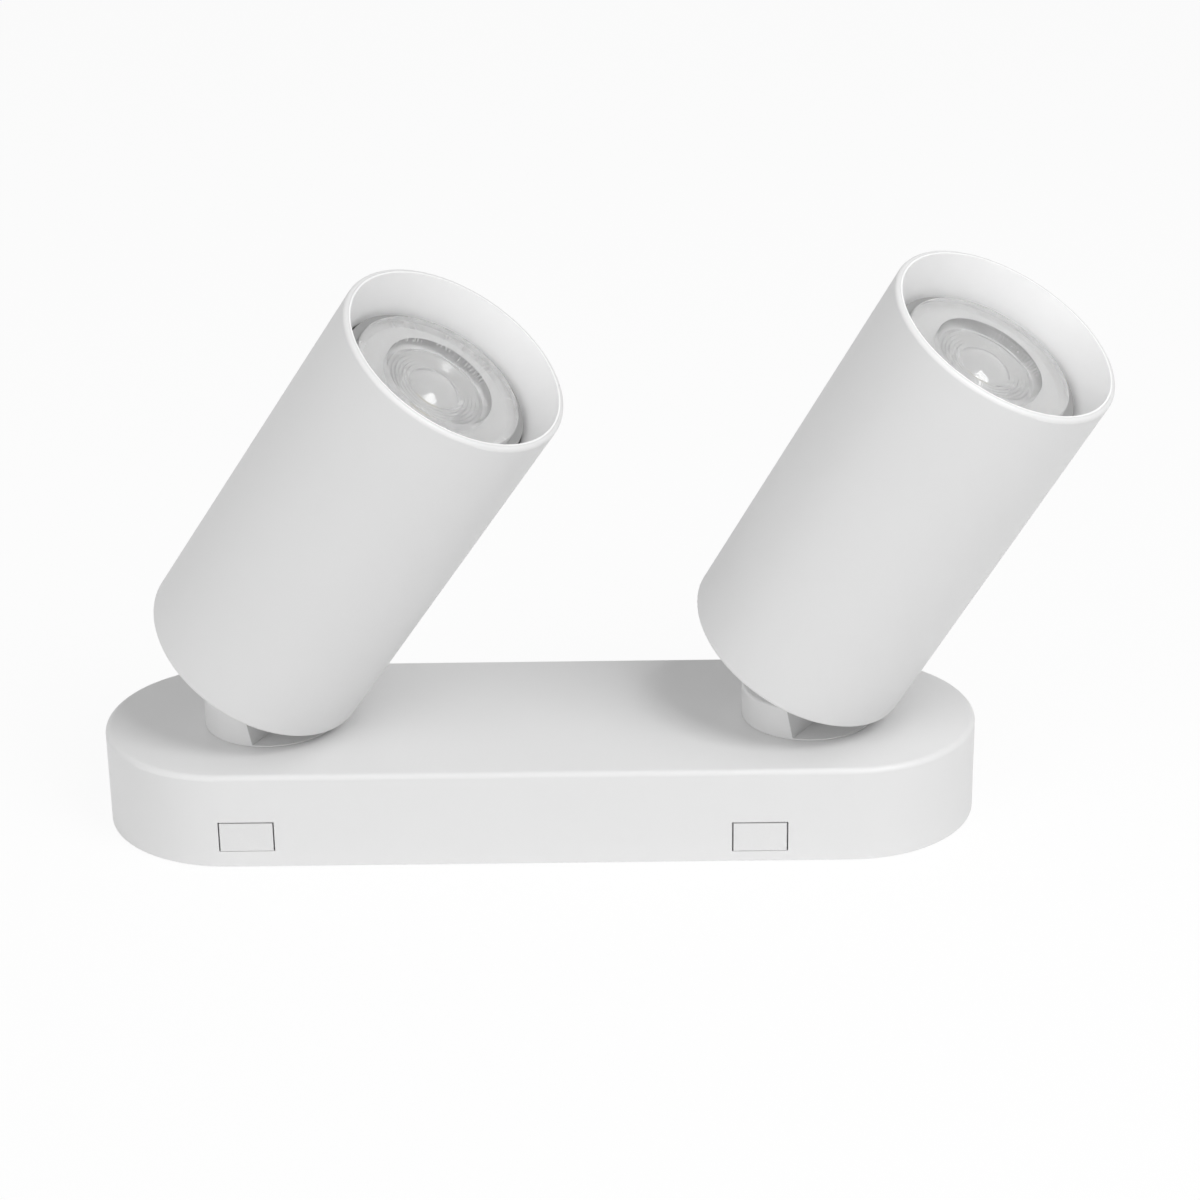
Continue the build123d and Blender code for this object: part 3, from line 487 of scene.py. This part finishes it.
class SPOTLIGHT_OT_heads(Operator):
    """Powder-coats the head tubes, and finishes the ring, cap and carrier in each"""
    bl_idname = "spotlight.heads"
    bl_label = "Heads"

    def execute(self, context):
        finish = context.scene.spotlight_finish
        plated = both(
            "carrier_plate", "pivot_bracket", "bracket_screws",
            "pivot_bolt", "pivot_nut", "lampholder_screws",
        )
        clad(made_once(powder_coated_steel, finish), both("head_tube"))
        clad(made_once(moulded_abs, finish), both("rear_cap"))
        clad(made_once(moulded_polycarbonate, finish), both("glare_ring"))
        clad(made_once(zinc_plated_steel), plated)
        clad(made_once(pressed_steatite), both("lampholder"))
        return {"FINISHED"}


class SPOTLIGHT_OT_lamps(Operator):
    """Finishes the lamp bodies, pins, boards, chips and reflectors"""
    bl_idname = "spotlight.lamps"
    bl_label = "Lamps"

    def execute(self, context):
        finish = context.scene.spotlight_finish
        clad(made_once(glass_filled_nylon, finish), both("lamp_housing"))
        clad(made_once(moulded_polycarbonate, finish), both("lamp_reflector"))
        clad(made_once(turned_brass), both("lamp_pins"))
        clad(made_once(white_solder_mask), both("led_board"))
        clad(made_once(phosphor_silicone), both("led_chip"))
        return {"FINISHED"}


# Lenses, with the prism ribs and rings of the moulded optic

EDGE_STEPS = 6
DOME_STEPS = 12
POINTS_PER_RIB = 4
SHARP_ANGLE = math.radians(35)


def lamp_axis(side):
    """A point on a lamp's axis, the axis, and two directions across it."""
    joint = next(j for j in frame["joints"] if j["name"] == f"{side}_lamp_twist")
    axis = Vector(joint["axis"]).normalized()
    across = axis.cross(Vector((0, 0, 1))).normalized()
    return Vector(joint["pos_m"]), axis, across, axis.cross(across)


def reach(node, origin, axis):
    """The lowest and highest place of a node along an axis, and its radius about it."""
    offsets = [v.co - origin for v in frame["nodes"][node].data.vertices]
    heights = [offset.dot(axis) for offset in offsets]
    radius = max((offset - axis * height).length for offset, height in zip(offsets, heights))
    return min(heights), max(heights), radius


def lens_profile(lens, tip, face, radius):
    """The rings of the lens from the tip to the middle of its face.

    Each has its radius, its height and its share of the prism ribs."""
    seat = face - lens.plate_thickness
    floor = face - lens.dish_depth
    profile = [(lens.tip_radius, tip, 0), (lens.dish_radius, seat, 0), (radius, seat, 0)]
    for step in range(EDGE_STEPS + 1):
        angle = math.pi / 2 * step / EDGE_STEPS
        inward = lens.edge_round * (1 - math.cos(angle))
        down = lens.edge_round * (1 - math.sin(angle))
        profile.append((radius - inward, face - down, 0))
    foot = lens.dish_radius - lens.wall_run
    profile += [(lens.dish_radius, face, 0), (foot, floor, 1)]
    rib_end = foot - lens.rib_height
    pitch = (rib_end - lens.dome_radius) / (lens.ring_count + 1)
    for ring in range(1, lens.ring_count + 1):
        crest = rib_end - pitch * ring
        profile += [(crest + lens.ring_height, floor, 0), (crest, floor + lens.ring_height, 0)]
    ball_radius = (lens.dome_radius**2 + lens.dome_height**2) / (2 * lens.dome_height)
    ball_middle = floor + lens.dome_height - ball_radius
    for step in range(DOME_STEPS):
        ring_radius = lens.dome_radius * (1 - step / DOME_STEPS)
        profile.append((ring_radius, ball_middle + math.sqrt(ball_radius**2 - ring_radius**2), 0))
    return profile


def lens_mesh(lens, side, node):
    """The closed mesh of a lens: its profile turned about the lamp's axis, within the node's reach."""
    origin, axis, across, upward = lamp_axis(side)
    tip, face, radius = reach(node, origin, axis)
    count = lens.rib_count * POINTS_PER_RIB
    shape = bmesh.new()
    rings = []
    for ring_radius, height, rib in lens_profile(lens, tip, face, radius):
        ring = []
        for i in range(count):
            angle = 2 * math.pi * i / count
            saw = abs(2 * (i % POINTS_PER_RIB) / POINTS_PER_RIB - 1)
            reached = ring_radius - rib * lens.rib_height * saw
            outward = across * math.cos(angle) + upward * math.sin(angle)
            ring.append(shape.verts.new(origin + axis * height + outward * reached))
        rings.append(ring)
    for lower, upper in zip(rings, rings[1:]):
        for i in range(count):
            j = (i + 1) % count
            shape.faces.new((lower[i], lower[j], upper[j], upper[i]))
    for ring in (rings[0], rings[-1]):
        middle = shape.verts.new(sum((v.co for v in ring), Vector()) / count)
        for i in range(count):
            shape.faces.new((middle, ring[i], ring[(i + 1) % count]))
    bmesh.ops.recalc_face_normals(shape, faces=shape.faces)
    mesh = bpy.data.meshes.new(f"lens_{side}")
    shape.to_mesh(mesh)
    shape.free()
    mesh.shade_smooth()
    mesh.set_sharp_from_angle(angle=SHARP_ANGLE)
    return mesh


class SPOTLIGHT_OT_lenses(Operator):
    """Builds the moulded lens of each lamp in place of its plain solid"""
    bl_idname = "spotlight.lenses"
    bl_label = "Lenses"

    def execute(self, context):
        for side in SIDES:
            node = f"lamp_lens_{side}"
            mesh = lens_mesh(context.scene.spotlight_lens, side, node)
            mesh.materials.append(made_once(clear_polycarbonate))
            piece = bpy.data.objects.new(f"lens_{side}", mesh)
            context.scene.collection.objects.link(piece)
            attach(piece, f"lamp_{side}")
            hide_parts(node)
        return {"FINISHED"}


# Studio


def soft_box(name, power, size, place, aim):
    """A square soft light that faces a point."""
    light = bpy.data.lights.new(name, "AREA")
    light.energy = power
    light.size = size
    lamp = bpy.data.objects.new(name, light)
    lamp.location = place
    lamp.rotation_euler = (Vector(aim) - Vector(place)).to_track_quat("-Z", "Y").to_euler()
    bpy.context.scene.collection.objects.link(lamp)


def seen_directly(tree):
    """1 where the camera sees a surface straight, in a mirror or through glass."""
    path = add(tree, "ShaderNodeLightPath").outputs
    mirrored = add(tree, "ShaderNodeMath", {
        0: path["Is Camera Ray"], 1: path["Is Glossy Ray"],
    }, operation="MAXIMUM")
    return add(tree, "ShaderNodeMath", {
        0: mirrored.outputs["Value"], 1: path["Is Transmission Ray"],
    }, operation="MAXIMUM").outputs["Value"]


class SPOTLIGHT_OT_stage(Operator):
    """Builds the pale floor, the soft light and the camera"""
    bl_idname = "spotlight.stage"
    bl_label = "Studio"

    def execute(self, context):
        stage = context.scene.spotlight_stage
        self.build_floor(context, stage)
        self.build_light(context, stage)
        self.build_camera(context, stage)
        context.scene.view_settings.view_transform = "Standard"
        return {"FINISHED"}

    def build_floor(self, context, stage):
        half = stage.floor_reach
        outline = ((-half, -half), (half, -half), (half, half), (-half, half))
        mesh = bpy.data.meshes.new("floor")
        mesh.from_pydata([(x, y, -stage.floor_gap) for x, y in outline], [], [(0, 1, 2, 3)])
        floor = bpy.data.objects.new("floor", mesh)
        context.scene.collection.objects.link(floor)
        # Matt painted board: it takes the shadow, and the camera sees it almost white.
        made, tree, shader, _ = start("painted_board", {"Roughness": 0.9, "Base Color": stage.floor_colour})
        output = next(n for n in tree.nodes if n.type == "OUTPUT_MATERIAL")
        glow = add(tree, "ShaderNodeEmission", {"Color": WHITE, "Strength": 1.0})
        share = add(tree, "ShaderNodeMath", {
            0: seen_directly(tree), 1: 1 - stage.shadow_share,
        }, operation="MULTIPLY")
        mixed = add(tree, "ShaderNodeMixShader", {
            0: share.outputs["Value"], 1: shader.outputs["BSDF"], 2: glow.outputs["Emission"],
        })
        tree.links.new(mixed.outputs["Shader"], output.inputs["Surface"])
        mesh.materials.append(made)

    def build_light(self, context, stage):
        world = bpy.data.worlds.new("studio")
        world.use_nodes = True
        tree = world.node_tree
        tree.nodes.clear()
        strength = add(tree, "ShaderNodeMapRange", {
            "Value": seen_directly(tree), "To Min": stage.sky_strength, "To Max": 1.0,
        }).outputs["Result"]
        sky = add(tree, "ShaderNodeBackground", {"Color": WHITE, "Strength": strength})
        add(tree, "ShaderNodeOutputWorld", {"Surface": sky.outputs["Background"]})
        context.scene.world = world
        soft_box("key", stage.key_power, stage.key_size, stage.key_place, stage.aim)
        soft_box("fill", stage.fill_power, stage.fill_size, stage.fill_place, stage.aim)

    def build_camera(self, context, stage):
        lens = bpy.data.cameras.new("camera")
        lens.sensor_width = stage.sensor_width
        lens.lens = stage.focal_length
        camera = bpy.data.objects.new("camera", lens)
        turn = Matrix.Rotation(-stage.yaw, 4, "Z")
        turn @= Matrix.Rotation(math.pi / 2 - stage.pitch, 4, "X")
        turn @= Matrix.Rotation(stage.roll, 4, "Z")
        back = turn.to_3x3() @ Vector((0, 0, stage.distance))
        camera.matrix_world = Matrix.Translation(Vector(stage.aim) + back) @ turn
        context.scene.collection.objects.link(camera)
        context.scene.camera = camera


class SPOTLIGHT_PT_sidebar(Panel):
    """Lists the settings and the pieces"""
    bl_label = "Twin spotlight"
    bl_idname = "SPOTLIGHT_PT_sidebar"
    bl_space_type = "VIEW_3D"
    bl_region_type = "UI"
    bl_category = "Spotlight"

    def draw(self, context):
        for group in SETTINGS:
            settings = getattr(context.scene, group)
            box = self.layout.box()
            for name in settings.__annotations__:
                box.prop(settings, name)
        for operator in OPERATORS:
            self.layout.operator(operator.bl_idname)


OPERATORS = (
    SPOTLIGHT_OT_base,
    SPOTLIGHT_OT_mounting,
    SPOTLIGHT_OT_wiring,
    SPOTLIGHT_OT_swivels,
    SPOTLIGHT_OT_heads,
    SPOTLIGHT_OT_lamps,
    SPOTLIGHT_OT_lenses,
    SPOTLIGHT_OT_stage,
)
SETTINGS = {
    "spotlight_finish": FinishSettings,
    "spotlight_lens": LensSettings,
    "spotlight_stage": StageSettings,
}


def register():
    for name, group in SETTINGS.items():
        bpy.utils.register_class(group)
        setattr(bpy.types.Scene, name, PointerProperty(type=group))
    for made in (*OPERATORS, SPOTLIGHT_PT_sidebar):
        bpy.utils.register_class(made)


def unregister():
    for made in (SPOTLIGHT_PT_sidebar, *OPERATORS):
        bpy.utils.unregister_class(made)
    for name, group in SETTINGS.items():
        delattr(bpy.types.Scene, name)
        bpy.utils.unregister_class(group)


def main():
    register()
    for operator in OPERATORS:
        group, name = operator.bl_idname.split(".")
        getattr(getattr(bpy.ops, group), name)()


if __name__ == "__main__":
    main()
